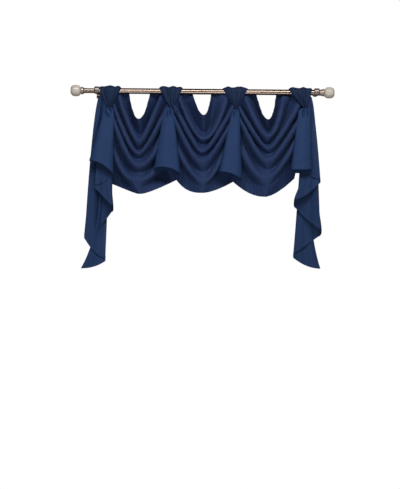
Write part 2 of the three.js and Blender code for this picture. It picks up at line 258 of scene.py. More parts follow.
def cloth_finish(name, depth, painted_shade_red):
    """Navy cloth with painted light and shade: a depth below 1 darkens it as gathers shade one another,
    above 1 lights it, and the red factor adds red.
    """
    cloth = Finish(name)
    flat = cloth.flat()
    across = cloth.node("ShaderNodeSeparateXYZ", {0: flat})
    down = across.beside("Y")
    warp = (across * (math.pi / thread_pitch)).sin()
    weft = (down * (math.pi / thread_pitch)).sin()
    warp_on_top = (warp * weft).over(0)
    weave = warp.size() * warp_on_top + weft.size() * (1 - warp_on_top)
    slub_down = cloth.noise(cloth.scaled(flat, (slubs_across, slubs_along, 1)), scale=1.0, detail=1.0)
    slub_across = cloth.noise(cloth.scaled(flat, (slubs_along, slubs_across, 1)), scale=1.0, detail=1.0)
    slub = slub_down * warp_on_top + slub_across * (1 - warp_on_top)
    clouds = cloth.noise(cloth.place(), scale=9.0, detail=3.0)
    tone = weave * 0.32 + slub * 0.42 + clouds * 0.26
    # painted light and shade: the colour scaled by depth, and its red raised for a warmer painted shade
    balance = (depth * painted_shade_red, depth, depth, 1)
    deep, light = (tuple(a * b for a, b in zip(tint, balance)) for tint in (navy_deep, navy_light))
    colour = cloth.mix(tone, deep, light)
    soft_dents = cloth.noise(cloth.place(), scale=55.0, detail=2.0)
    dented = cloth.bump(soft_dents, distance=1.1 * mm, strength=0.35)
    normal = cloth.bump(weave * 0.6 + slub * 0.4, distance=0.16 * mm, strength=0.5, after=dented)
    return cloth.shade(
        Base_Color=colour,
        Roughness=0.78 - weave * 0.14,
        Specular_IOR_Level=0.2,
        Sheen_Weight=0.06,
        Sheen_Roughness=0.45,
        Sheen_Tint=(0.45, 0.58, 1.0, 1),
        Normal=normal,
    )


# Lit and shaded copies of one cloth: painted shade on the gathered tabs, painted light on the horns, and a
# redder painted shade on the swags.
navy_cloth = cloth_finish("navy cloth", depth=1.0, painted_shade_red=1.05)
swag_painted_shade_cloth = cloth_finish("navy cloth, swags", depth=0.98, painted_shade_red=1.31)
horn_painted_light_cloth = cloth_finish("navy cloth, horns", depth=1.13, painted_shade_red=0.96)
gathered_painted_shade_cloth = cloth_finish("navy cloth, gathered", depth=0.58, painted_shade_red=1.05)

# %% [markdown]
# ## From a grid of points to a cloth
# Every cloth here is a grid: rows run down the drop, columns run across. Simulation could find the folds,
# but a swag's folds are pleated in by hand and have to lie where the maker set them, so the grids follow
# fold lines instead. One function turns a grid into a thin closed cloth with a front, a back and a rim.
# It also lays the cloth out flat in its UV map by measuring lengths along the rows and columns.

# %% Cloth from a grid
cloth_thickness = 0.9 * mm
smooth_limit = math.radians(55)
cloths = {}  # each cloth's object and grid, by the CAD node that it stands for


def normals_of(grid):
    """Unit normals of a grid, pointing to the side from which rows run down and columns run right."""
    down = np.gradient(grid, axis=0)
    across = np.gradient(grid, axis=1)
    normal = np.cross(down, across)
    return normal / np.maximum(np.linalg.norm(normal, axis=2, keepdims=True), 1e-12)


def lengths_along(grid, axis):
    """How far each point lies along its row or column, in metres."""
    steps = np.linalg.norm(np.diff(grid, axis=axis), axis=2)
    start = np.zeros_like(np.take(steps, [0], axis=axis))
    return np.concatenate([start, np.cumsum(steps, axis=axis)], axis=axis)


def flat_map(grid):
    """Each point's place on the flat cloth, measured from the middle of the top edge."""
    across = lengths_along(grid, 1)
    across -= across[:, across.shape[1] // 2][:, None]
    return np.stack([across, -lengths_along(grid, 0)], axis=2)


def quads_of(rows, columns, first, flip):
    """The faces of a grid whose points are numbered from first."""
    index = first + np.arange(rows * columns).reshape(rows, columns)
    a, b, c, d = index[:-1, :-1], index[:-1, 1:], index[1:, 1:], index[1:, :-1]
    order = (a, b, c, d) if flip else (a, d, c, b)
    return np.stack([x.ravel() for x in order], axis=1)


def rim_of(rows, columns, offset):
    """The quads that join the front and back along the grid's border."""
    index = np.arange(rows * columns).reshape(rows, columns)
    ring = np.concatenate([index[0, :-1], index[:-1, -1], index[-1, :0:-1], index[:0:-1, 0]])
    after = np.roll(ring, -1)
    return np.stack([ring, after, after + offset, ring + offset], axis=1)


def mesh_from(name, points, faces, flat=None, sharp=smooth_limit):
    """A smooth mesh whose edges above an angle are sharp. flat gives each point's place in its UV map."""
    mesh = bpy.data.meshes.new(name)
    mesh.from_pydata(points.tolist(), [], faces.tolist() if hasattr(faces, "tolist") else faces)
    if flat is not None:
        layer = mesh.uv_layers.new(name="cloth")
        corner = np.zeros(len(mesh.loops), np.int32)
        mesh.loops.foreach_get("vertex_index", corner)
        layer.data.foreach_set("uv", flat[corner].astype(np.float32).ravel())
    mesh.shade_smooth()
    mesh.set_sharp_from_angle(angle=sharp)
    mesh.update()
    return mesh


def piece(name, mesh, material):
    """An object with one finish, at the origin."""
    shown = bpy.data.objects.new(name, mesh)
    scene.collection.objects.link(shown)
    mesh.materials.clear()
    mesh.materials.append(material)
    return shown


def area_of(grid):
    """The area of a grid's surface, in square metres."""
    a, b, c, d = grid[:-1, :-1], grid[:-1, 1:], grid[1:, 1:], grid[1:, :-1]
    doubled = [np.linalg.norm(np.cross(b - corner, d - corner), axis=2).sum() for corner in (a, c)]
    return sum(doubled) / 2


def cloth_from(node, grid, thickness=cloth_thickness, finish=navy_cloth):
    """A closed cloth round a grid, to stand for a CAD node. thickness is a number or one for each point."""
    rows, columns = grid.shape[:2]
    count = rows * columns
    half = normals_of(grid) * (np.broadcast_to(thickness, (rows, columns)) / 2)[..., None]
    points = np.concatenate([(grid + half).reshape(-1, 3), (grid - half).reshape(-1, 3)])
    front, back = quads_of(rows, columns, 0, False), quads_of(rows, columns, count, True)
    faces = np.concatenate([front, back, rim_of(rows, columns, count)])
    flat = flat_map(grid).reshape(-1, 2)
    mesh = mesh_from(node, points, faces, np.concatenate([flat, flat]))
    cloths[node] = dict(shown=piece(node + "_cloth", mesh, finish), grid=grid)
    width, drop = (lengths_along(grid, axis).max() for axis in (1, 0))
    measures = f"{area_of(grid):.4f} square metres, at most {width:.3f} m across and {drop:.3f} m down"
    print(f"{node}: {len(mesh.polygons)} faces, {measures}")


# %% Easing, noise and soft creases
def mix(a, b, t):
    return a + (b - a) * t


def smooth(t):
    """From 0 to 1 with a level start and end."""
    t = np.clip(t, 0, 1)
    return t * t * (3 - 2 * t)


def ripple(u, v, seed, waves=5):
    """Gentle uneven waves of about unit height over a surface."""
    dice = np.random.default_rng(seed)
    total = np.zeros(np.broadcast(u, v).shape)
    for wave in range(waves):
        turn = dice.uniform(0, 2 * np.pi)
        pull = 1.35**wave  # each wave is a quarter shorter than the one before
        along = pull * (u * np.cos(turn) + v * np.sin(turn))
        total += np.sin(along + dice.uniform(0, 2 * np.pi)) / pull**0.5
    return total / waves**0.5


def press(grid, path, width, depth):
    """Presses a soft trough into the front of a grid along a line of (x, z) points, all given in mm."""
    x, z = grid[..., 0], grid[..., 2]
    nearest = np.full(x.shape, np.inf)
    fade = np.zeros(x.shape)
    points = np.array(path, float) * mm
    for i in range(len(points) - 1):
        step = points[i + 1] - points[i]
        t = ((x - points[i, 0]) * step[0] + (z - points[i, 1]) * step[1]) / (step @ step)
        held = np.clip(t, 0, 1)
        away = np.hypot(x - points[i, 0] - held * step[0], z - points[i, 1] - held * step[1])
        along = (i + held) / (len(points) - 1)
        shallow_ends = np.sin(np.pi * np.clip(along, 0.02, 0.98)) ** 0.6
        fade = np.where(away < nearest, shallow_ends, fade)
        nearest = np.minimum(nearest, away)
    grid[..., 1] += depth * mm * fade * np.exp(-((nearest / (width * mm)) ** 2))


print("cloth helpers ready")

# %% [markdown]
# ## Tables shared by the cloths
# The cloths meet at the necks, so their sizes stand together here, in millimetres. x runs to the right, z up
# from the rod's middle, and y is 0 at the wall and below 0 in front of it. The tabs and horns come first,
# because a swag's folds start at their necks. neck_x and neck_z are the narrow point where tab, swags and
# horn meet, and left and right are the tab's edges where it passes over the rod. close_left and close_right
# say how early each edge runs in to the neck: above 1 it runs in soon, below 1 late, which makes the tab's
# lower end rounder. A horn has its edges at the top and at the hem, the hem's height at its left, middle and
# right, its depth in front, how much lower its back hangs, and half the width of its gathered neck.

# %% Tabs, horns and where the folds end
def table(columns, *rows):
    """Rows as dictionaries, with the columns' names as keys."""
    return [dict(zip(columns.split(), row)) for row in rows]


tabs = table(
    "neck_x neck_z left right neck_width close_left close_right seed",
    (-377, -67, -419, -335, 6, 0.75, 0.9, 3),
    (-138, -66, -186, -95, 4, 0.9, 0.95, 8),
    (114, -70, 61, 160, 3, 1.0, 1.0, 5),
    (384, -67, 319, 410, 3, 0.85, 0.9, 12),
)

horns = table(
    "top_z top_left top_right hem_left hem_right z_left z_middle z_right depth back_drop neck",
    (-67, -397, -360, -453, -361, -274, -286, -322, 24, 3, 7),
    (-64, -165, -131, -202, -100, -302, -299, -321, 27, 14, 5),
    (-68, 99, 127, 50, 138, -313, -319, -342, 26, 11, 3),
    (-63, 358, 402, 328, 408, -303, -303, -302, 24, 13, 5),
)

# Creases below the rod and at the necks: the cloth, a crease's width and depth, and its points as x and z.
creases = [
    ("tab_1", 3.0, 3.0, [(-402, 8), (-396, -20), (-386, -50)]),
    ("tab_2", 2.4, 5.0, [(-155, 14), (-152, -8), (-149, -34)]),
    ("tab_3", 3.0, 3.5, [(118, 6), (115, -24), (112, -50)]),
    ("tab_4", 3.0, 4.0, [(352, -4), (364, -24), (376, -48)]),
    ("horn_1", 4.5, 10.0, [(-394, -72), (-395, -84), (-388, -98), (-374, -108)]),
    ("horn_1", 3.6, 8.0, [(-380, -70), (-374, -78), (-372, -90)]),
    ("horn_2", 3.4, 9.0, [(-142, -72), (-142, -84), (-141, -96)]),
    ("horn_2", 3.2, 7.0, [(-150, -76), (-153, -92), (-155, -108)]),
    ("horn_3", 3.4, 9.0, [(109, -78), (107, -90), (103, -104)]),
    ("horn_4", 3.6, 9.0, [(376, -70), (376, -84), (374, -99)]),
    ("horn_4", 3.2, 7.0, [(390, -70), (393, -84), (394, -104)]),
    ("swag_middle", 3.6, 9.0, [(-129, -48), (-121, -56), (-115, -68)]),
    ("swag_middle", 3.2, 8.0, [(-122, -66), (-118, -80), (-112, -100)]),
    ("tail_left", 5.0, 9.0, [(-406, -20), (-416, -130), (-431, -268)]),
    ("tail_right", 3.0, 4.0, [(402, -24), (408, -70), (414, -130)]),
]


def creased(node, grid):
    """A cloth's grid with all of its creases pressed in."""
    for name, width, depth, path in creases:
        if name == node:
            press(grid, path, width, depth)
    return grid


# The y at which a fold line ends, by its height there.
end_z = [-360, -180, -130, -66, -30, 0]
end_y = [-40, -50, -84, -94, -78, -72]

# %% [markdown]
# ## The swags
# A swag is a fan of pleats set into each neck, so its folds are lines that leave one neck, sag and climb to
# the other. Each row of a table is one such line from the top edge to the hem. Below every ridge the cloth
# tucks back under it into a valley and comes forward again to the next one, so ridges and valleys take
# turns in the table, and a curved step joins each line to the next. Where a swag meets its right-hand
# neighbour, it runs on behind it as overlapping swags do.

# %% Fold lines of the swags
# Each line runs from its left end over its lowest point to its right end, given as x and z. y is where its
# lowest point stands in front of the wall, and the two round columns say how the line hangs on either side:
# 1 is a V with a small rounding, 2 a parabola, and more is flatter still at the bottom.
line_columns = "fold left_x left_z low_x low_z right_x right_z y round_left round_right"

swag_tables = {
    "swag_left": table(
        line_columns,
        ("top edge", -305, -1, -264, -109, -221, -1, -101, 2.2, 2.2),
        ("valley", -327, -5, -260, -172, -186, -5, -68, 1.8, 1.5),
        ("ridge", -347, -9, -260, -196, -174, -9, -122, 1.4, 1.15),
        ("valley", -364, -34, -264, -232, -156, -34, -98, 1.1, 1.25),
        ("ridge", -366, -50, -263, -244, -147, -50, -124, 1.4, 1.2),
        ("valley", -368, -62, -264, -266, -143, -60, -105, 1.7, 1.6),
        ("ridge", -371, -80, -260, -293, -142, -80, -126, 1.7, 1.95),
        ("valley", -376, -108, -262, -320, -142, -110, -109, 2.6, 2.2),
        ("ridge", -380, -185, -268, -350, -140, -190, -126, 2.3, 2.4),
        ("low valley", -378, -225, -264, -382, -140, -262, -123, 2.2, 1.5),
        ("hem", -372, -360, -256, -402, -108, -339, -120, 1.0, 1.15),
    ),
    "swag_middle": table(
        line_columns,
        ("top edge", -57, -1, -11, -92, 18, -1, -101, 2.0, 2.3),
        ("valley", -93, -5, -11, -160, 33, -5, -68, 1.6, 3.2),
        ("ridge", -112, -12, -14, -187, 82, -9, -122, 1.5, 2.1),
        ("valley", -121, -38, -15, -206, 98, -29, -99, 1.15, 1.65),
        ("ridge", -131, -52, -17, -237, 108, -48, -124, 1.0, 1.15),
        ("valley", -136, -62, -20, -250, 116, -60, -105, 1.35, 1.75),
        ("ridge", -137, -78, -17, -274, 117, -76, -126, 1.4, 1.3),
        ("valley", -138, -104, -10, -316, 106, -98, -107, 1.8, 1.6),
        ("ridge", -136, -180, -10, -354, 88, -190, -125, 1.5, 1.7),
        ("low valley", -137, -212, -12, -376, 88, -205, -123, 1.45, 1.35),
        ("hem", -126, -330, -16, -396, 114, -344, -120, 2.6, 1.5),
    ),
    "swag_right": table(
        line_columns,
        ("top edge", 192, -1, 238, -107, 272, -1, -101, 1.9, 2.6),
        ("valley", 175, -4, 239, -158, 283, -5, -68, 1.2, 2.1),
        ("ridge", 146, -8, 240, -173, 302, -4, -122, 1.6, 2.2),
        ("valley", 126, -36, 236, -207, 338, -10, -99, 1.25, 1.2),
        ("ridge", 119, -50, 241, -220, 368, -36, -124, 1.25, 1.1),
        ("valley", 115, -62, 245, -243, 383, -48, -106, 1.55, 1.1),
        ("ridge", 117, -78, 237, -269, 388, -60, -126, 1.35, 1.2),
        ("valley", 117, -100, 240, -305, 382, -84, -109, 1.85, 1.45),
        ("ridge", 117, -180, 232, -337, 368, -148, -125, 1.9, 1.55),
        ("low valley", 116, -215, 236, -372, 374, -178, -123, 2.6, 1.2),
        ("hem", 100, -342, 226, -409, 347, -333, -120, 1.9, 1.5),
    ),
}


# %% The shape of one fold line
blunt = 0.14  # how rounded a line is at its lowest point, as a share of its half width
half_columns = 78
share = np.sin(np.linspace(0, np.pi / 2, half_columns + 1))  # stations of half a line, closer near its end
# How late a line's y changes on the way up to its end: 1 is evenly, above 1 late, below 1 soon.
depth_ease = {"top edge": 2.2, "valley": 0.9, "ridge": 3, "low valley": 1.6, "hem": 1}
side_hollow = {"valley": 30, "low valley": 30}  # how much deeper a line is halfway up its sides
end_relief = 8  # how far a ridge still stands out where it ends
rod_gap = 2.2  # how far the top edges stay clear of the rod
step_rows = 12  # rows of cloth from one fold line to the next


def climb(share, roundness):
    """How far up a line has climbed, from 0 at its lowest point to 1 at its end."""
    start, whole = blunt**roundness, (1 + blunt**2) ** (roundness / 2)
    return ((share**2 + blunt**2) ** (roundness / 2) - start) / (whole - start)


def behind_rod(z):
    """The most forward y of cloth that comes down behind the rod."""
    clear = rod_radius / mm + rod_gap
    inside = np.clip(clear**2 - z**2, 0, None)
    return np.where(np.abs(z) < clear, rod_y / mm + np.sqrt(inside), -np.inf)


def fold_line(line, end_forward):
    """A fold line's points in mm from left to right, with both ends brought forward by so much."""
    relief = end_relief if line["fold"] == "ridge" else 0
    halves = []
    for side in ("left", "right"):
        end_x, end_height = line[side + "_x"], line[side + "_z"]
        y_end = np.interp(end_height, end_z, end_y) - end_forward - relief
        x = mix(line["low_x"], end_x, share)
        z = mix(line["low_z"], end_height, climb(share, line["round_" + side]))
        hollow = side_hollow.get(line["fold"], 0) * np.sin(np.pi * share**1.5)
        y = np.maximum(mix(line["y"], y_end, share ** depth_ease[line["fold"]]) + hollow, behind_rod(z))
        halves.append(np.stack([x, y, z], axis=1))
    return np.concatenate([halves[0][::-1], halves[1][1:]])


def unit(vectors):
    return vectors / np.linalg.norm(vectors, axis=1, keepdims=True)


def downwards(points):
    """Across the folds: the direction square to the line, on the front, that points down and out."""
    run = np.gradient(points, axis=0)
    return unit(np.stack([run[:, 2], np.zeros(len(run)), -run[:, 0]], axis=1))


def step_between(start, end, leave, arrive, leave_by, arrive_by):
    """Rows of a curved step from one line to the next. It leaves and arrives in the given directions."""
    length = np.linalg.norm(end - start, axis=1, keepdims=True)
    rows = []
    for t in np.arange(step_rows) / step_rows:
        leaving = (t**3 - 2 * t**2 + t) * leave * length * leave_by
        arriving = (t**3 - t**2) * arrive * length * arrive_by
        rows.append(mix(start, end, smooth(t)) + leaving + arriving)
    return rows


# %% Swag surfaces
crest_roundness, tuck_roundness = 0.95, 0.5  # how long a step keeps its direction at a ridge, and elsewhere
square_share = 0.7  # how far out from the middle a fold leaves its line squarely
middle_forward = 6  # how far the middle swag's ends stand in front of the outer ones

# Where a swag's right edge ends behind the next swag, so that no gap opens between them from the side.
run_on_to = {"swag_left": -120, "swag_middle": 132}
run_on_top, run_on_end = -85, -344  # the heights between which the edge runs on
run_on_depth = 22  # how far it moves towards the wall
run_on_least = 2  # how far the edge moves out above and below those heights
run_on_columns = 10


def run_on(grid, end_x):
    """A grid in mm with its right edge carried on to end_x and towards the wall, below the neck."""
    x, y, z = (grid[:, -1:, k] for k in range(3))
    hidden = smooth((run_on_top - z) / 30) * smooth((z - run_on_end) / 60)  # eased over 30 and 60 mm
    width = mix(run_on_least, np.maximum(end_x - x, run_on_least), hidden)
    far = np.linspace(0, 1, run_on_columns + 1)[None, 1:]
    more = np.broadcast_arrays(x + width * far, y + run_on_depth * hidden * far, z)
    return np.concatenate([grid, np.stack(more, axis=2)], axis=1)


def swag_grid(name):
    """Rows from the top edge to the hem: curved steps from each fold line to the next."""
    lines = swag_tables[name]
    points = [fold_line(line, middle_forward if name == "swag_middle" else 0) for line in lines]
    towards = []
    for i, (line, at) in enumerate(zip(lines, points)):
        if line["fold"] in ("ridge", "valley", "low valley"):
            from_middle = np.abs(np.linspace(-1, 1, len(at)))
            loose = smooth((from_middle - square_share) / (1 - square_share))[:, None]
            towards.append(unit(mix(downwards(at), unit(points[i + 1] - points[i - 1]), loose)))
        else:
            near = points[1] - points[0] if i == 0 else points[-1] - points[-2]
            towards.append(unit(near))
    rows = []
    for i in range(len(lines) - 1):
        strength = [crest_roundness if lines[k]["fold"] == "ridge" else tuck_roundness for k in (i, i + 1)]
        rows += step_between(points[i], points[i + 1], towards[i], towards[i + 1], *strength)
    rows.append(points[-1])
    grid = np.array(rows)
    if name in run_on_to:
        grid = run_on(grid, run_on_to[name])
    return grid * mm


# %% Wrinkles and hems
hem_height = 13 * mm  # how far the cloth is turned up
hem_edge = 1.4 * mm  # over how much of the cloth the turned-up edge thins out
hem_bulk = 0.9  # how much thicker the hem is, as a share of the cloth
stitch_inset = 1.5 * mm  # how far inside the turned-up edge the stitches run
stitch_pull, stitch_reach = 0.55, 1.1 * mm  # the share of the cloth that stitches pull in, and how far


def wrinkled(grid, seed, height, length):
    """Moves a grid in and out along its normals in uneven waves of about that height and length."""
    u, v = lengths_along(grid, 1), lengths_along(grid, 0)
    waves = ripple(u * 2 * np.pi / length, v * 2 * np.pi / length, seed)
    return grid + normals_of(grid) * (waves * height)[..., None]


def hem_thickness(grid):
    """The cloth is doubled in a band along its last row, and dips where the stitches hold it."""
    up = lengths_along(grid, 0)
    from_hem = up[-1][None, :] - up
    doubled = smooth((hem_height + hem_edge / 2 - from_hem) / hem_edge)
    dip = np.exp(-(((from_hem - hem_height + stitch_inset) / stitch_reach) ** 2))
    return cloth_thickness * (1 + hem_bulk * doubled - stitch_pull * dip)


for seed, name in enumerate(swag_tables, 20):
    grid = creased(name, wrinkled(swag_grid(name), seed, height=0.9 * mm, length=60 * mm))
    cloth_from(name, grid, hem_thickness(grid), swag_painted_shade_cloth)

# %% [markdown]
# ## The tabs
# Each tab is a gathered strip that rises from its neck, passes over the rod and is sewn down behind it. Its
# gathers are the same waves all the way: broad and soft over the rod, and squeezed into narrow pleats at
# the neck.

# %% Tab surfaces
tab_radius = 19  # of the loop over the rod
neck_y = -106
tuck_length = 12  # how far a tab's end reaches down inside its horn
open_at_rod = 0.88  # how far a tab has opened where it reaches the front of the rod
curl_at_neck, curl_at_rod = 2.5, 6  # how far a tab's side edges curl back
tuck_rows, rise_rows, loop_rows, tab_columns = 8, 40, 36, 121

# Waves across a tab: their count, how far and how often their spacing wanders, their height where the tab is
# open, and how much higher they are where it is drawn in.
gathers = table(
    "count wander wander_count height drawn_height",
    (2.2, 0.1, 7, 2.2, 1.8),
    (5.3, 0.2, 5, 0.3, 1.2),
)


def tab_path(tab):
    """Rows of a tab's middle line: y, z, the way out of the cloth, and how open it is, from 0 to 1."""
    rows = []
    for t in np.linspace(0, 1, tuck_rows, endpoint=False):
        y, z = mix(neck_y - 1, neck_y, smooth(t)), mix(tab["neck_z"] - tuck_length, tab["neck_z"], t)
        rows.append((y, z, -1, 0, 0))
    for t in np.linspace(0, 1, rise_rows, endpoint=False):
        y, z = mix(neck_y, rod_y / mm - tab_radius, t), mix(tab["neck_z"], 0, t)
        rows.append((y, z, -1, 0, open_at_rod * t))
    for turn in np.linspace(0, np.pi, loop_rows):
        out_y, out_z = -np.cos(turn), np.sin(turn)
        opening = mix(open_at_rod, 1, smooth(turn / (np.pi / 2)))
        rows.append((rod_y / mm + tab_radius * out_y, tab_radius * out_z, out_y, out_z, opening))
    return np.array(rows)


def gathered(across, drawn_in, dice, count, wander, wander_count, height, drawn_height):
    """One row of the gathers table as waves across a tab."""
    uneven = wander * np.sin(wander_count * across + dice.uniform(0, 6))
    wave = np.sin(2 * np.pi * (count * across + uneven) + dice.uniform(0, 6))
    return (height + drawn_height * drawn_in) * wave


def tab_grid(tab):
    """Rows from behind the rod down to the tucked end. The gathers stand out from the middle line."""
    y, z, out_y, out_z, opening = (column[:, None] for column in tab_path(tab).T)
    across = np.linspace(0, 1, tab_columns)
    tucked = np.clip((tab["neck_z"] - z) / tuck_length, 0, 1)
    half_neck = tab["neck_width"] / 2 * mix(1, 0.5, tucked)
    left = mix(tab["neck_x"] - half_neck, tab["left"], opening ** tab["close_left"])
    right = mix(tab["neck_x"] + half_neck, tab["right"], opening ** tab["close_right"])
    dice = np.random.default_rng(tab["seed"])
    drawn_in = np.exp(-(((opening - 0.12) / 0.35) ** 2))  # most just above the neck
    waves = sum(gathered(across, drawn_in, dice, **row) for row in gathers)
    waves = waves * np.clip(4 * across * (1 - across), 0, 1) ** 0.3 * mix(1, 0.3, tucked)
    at_edges = np.abs(2 * across - 1) ** 7
    out = waves - mix(curl_at_neck, curl_at_rod, opening) * at_edges * smooth(opening * 4)
    grid = np.stack(np.broadcast_arrays(mix(left, right, across), y + out_y * out, z + out_z * out), axis=2)
    return grid[::-1] * mm


for number, tab in enumerate(tabs, 1):
    cloth_from(f"tab_{number}", creased(f"tab_{number}", tab_grid(tab)), finish=gathered_painted_shade_cloth)

# %% [markdown]
# ## The horns
# A horn is a cone of cloth, gathered at its top and open below. It is swept round an axis by an angle, so
# its sides turn back from the light as a real cone's do. Its section is a little square, because cloth
# flattens across its front, and the back hangs lower than the front, so the inside shows below the hem.

# %% Horn surfaces
horn_top_y, horn_hem_y = -105, -120
horn_top_depth, horn_top_back, horn_hem_back = 5, 3, 9  # how far front and back stand off the horn's axis
horn_sweep = 176  # degrees to either side of the front
side_power, front_power = 0.78, 0.65  # 1 is a round section, and less is squarer
back_from, back_ease = 1.35, 0.9  # where round the cone the hem starts to hang lower, and over what angle
shoulder = 20  # how far down the gathered shoulder rounds out to the cone
pleat_waves = ((11, 0.6), (6, 0.4))  # radians that each wave turns from the middle to a side, and its share
pleat_height, pleat_reach = 2.4, 32  # the neck's pleats, and how far down they fade
flute_wave, flute_depth = 4.2, 1.1  # radians and depth of the broad flutes that open below
horn_rows, horn_columns = 92, 161


def bent(value, power):
    """A power of a number's size, with its sign kept."""
    return np.sign(value) * np.abs(value) ** power


def horn_grid(horn, seed):
    """Rows from the neck to the hem, and columns round the cone from one back edge to the other."""
    length = horn["top_z"] - horn["z_middle"]
    down = (np.linspace(0, 1, horn_rows) ** 1.3)[:, None]  # rows lie closer near the neck
    angle = np.radians(np.linspace(-horn_sweep, horn_sweep, horn_columns))[None, :]
    side, facing = bent(np.sin(angle), side_power), bent(np.cos(angle), front_power)
    rounded = np.sqrt(1 - (1 - np.clip(down * length / shoulder, 0, 1)) ** 2)
    left, right = (mix(horn["top_" + end], horn["hem_" + end], down) for end in ("left", "right"))
    half = mix(horn["neck"], (right - left) / 2, rounded)
    front = mix(horn_top_depth, horn["depth"], down) * mix(0.6, 1, rounded)
    back = mix(horn_top_back, horn_hem_back, down)
    dice = np.random.default_rng(seed)
    pleats = sum(np.sin(wave * side + dice.uniform(0, 6)) * part for wave, part in pleat_waves)
    flutes = np.sin(flute_wave * side + dice.uniform(0, 6)) * smooth(down / 0.5)
    x = (left + right) / 2 + half * side
    y = mix(horn_top_y, horn_hem_y, down) - np.where(facing > 0, front, back) * facing
    pleats_and_flutes = pleat_height * pleats * np.exp(-down * length / pleat_reach) + flute_depth * flutes
    y = y - np.clip(facing, 0, 1) * pleats_and_flutes
    z_left, z_middle, z_right = horn["z_left"], horn["z_middle"], horn["z_right"]
    hem_z = z_middle + (z_right - z_left) / 2 * side + ((z_left + z_right) / 2 - z_middle) * side**2
    hem_z = hem_z - horn["back_drop"] * smooth((np.abs(angle) - back_from) / back_ease)
    return np.stack(np.broadcast_arrays(x, y, mix(horn["top_z"], hem_z, down)), axis=2) * mm


for number, horn in enumerate(horns, 1):
    grid = wrinkled(horn_grid(horn, 30 + number), 40 + number, height=0.5 * mm, length=90 * mm)
    cloth_from(f"horn_{number}", creased(f"horn_{number}", grid), hem_thickness(grid), horn_painted_light_cloth)

# %% [markdown]
# ## The tails
# A tail is one long cloth with a slanting hem, folded back and forth. In plan it is a back-and-forth line
# whose layers lie one behind another, and because the cloth gets longer from one side to the other the
# hem steps down in a cascade. Some folds are pressed flat and others open into a wide soft turn, which is
# where the deep shadows are.

# %% Tail folds
# Each row is one fold, from the front layer's free edge to the back layer's. x and z say where the fold is
# at the hem, swing how early it moves out from top_x, and lobe how far it flares out just above the hem.
# y is where the cloth arrives at it in front of the wall, and belly how much deeper it hangs higher up. The
# cloth turns back by turn_up before it leaves again, and by turn at the hem, where a fold opens like a cone.
# drop is how much the hem falls round the turn, and flatten bends the hem that arrives there: 1 is straight,
# and more is steep first and level later. step and ease say where, along its width, that cloth changes
# depth, and over what share of the width, and hollow how much deeper its middle lies.
fold_columns = "top_x x z swing lobe y belly turn_up turn drop flatten step ease hollow"
tail_tables = {
    "tail_left": table(
        fold_columns,
        (-377, -372, -336, 1, 0, -105, 0, 0, 0, 0, 1, 0.5, 1, 0),
        (-404, -433, -367, 0.8, 0, -107, 0, 5, 5, 14, 1.8, 0.5, 0.9, 0),
        (-368, -361, -444, 1, 4, -103, 0, 28, 36, 28, 1, 0.5, 1, 0),
        (-414, -473, -561, 0.51, 2, -88, 0, 3, 3, 17, 1.6, 0.6, 0.6, 14),
        (-384, -391, -652, 1, 0, -77, 42, 3, 3, 13, 1.7, 0.6, 0.7, 0),
        (-411, -486, -693, 5, 0, -81, 0, 0, 0, 0, 2.3, 0.5, 1, 0),
    ),
    "tail_right": table(
        fold_columns,
        (388, 386, -320, 1, 0, -105, 0, 0, 0, 0, 1, 0.5, 1, 0),
        (402, 444, -340, 0.62, 0, -106, 0, 5, 5, 14, 1, 0.5, 0.9, 0),
        (380, 343, -416, 1.0, 13, -104, 0, 26, 34, 34, 1.5, 0.5, 0.9, 0),
        (402, 453, -530, 0.45, 6, -92, 0, 38, 46, 30, 1.2, 0.5, 0.5, 16),
        (380, 345, -630, 1.3, 0, -50, 0, 3, 3, 16, 1, 0.5, 1, 6),
        (404, 452, -687, 4.6, 0, -48, 0, 0, 0, 0, 2, 0.5, 1, 16),
    ),
}

# %% Tail surfaces
tail_top_z, tail_top_y, tail_top_pitch = -11.8, -93, 4.2  # pitch is the distance between layers at the top
widest_turn = 8  # how far out a turn may bulge past its layers
flute_height, flutes_across = 1.8, 2.3
spread_pace = 1.25  # above 1, the layers reach their full depth before the hem
flare_from, flare_length = 0.85, 0.13  # where the folds start to flare and open, and over what length
belly_until = 0.72  # how far down a belly starts to close again
tail_rows, layer_columns, turn_columns = 160, 30, 12


def fold_path(fold, side, down):
    """x down a fold that lies on one side, 1 for the right."""
    flare = side * fold["lobe"]
    swung = mix(fold["top_x"], fold["x"] - flare, down ** fold["swing"])
    return swung + flare * smooth((down - flare_from) / flare_length)


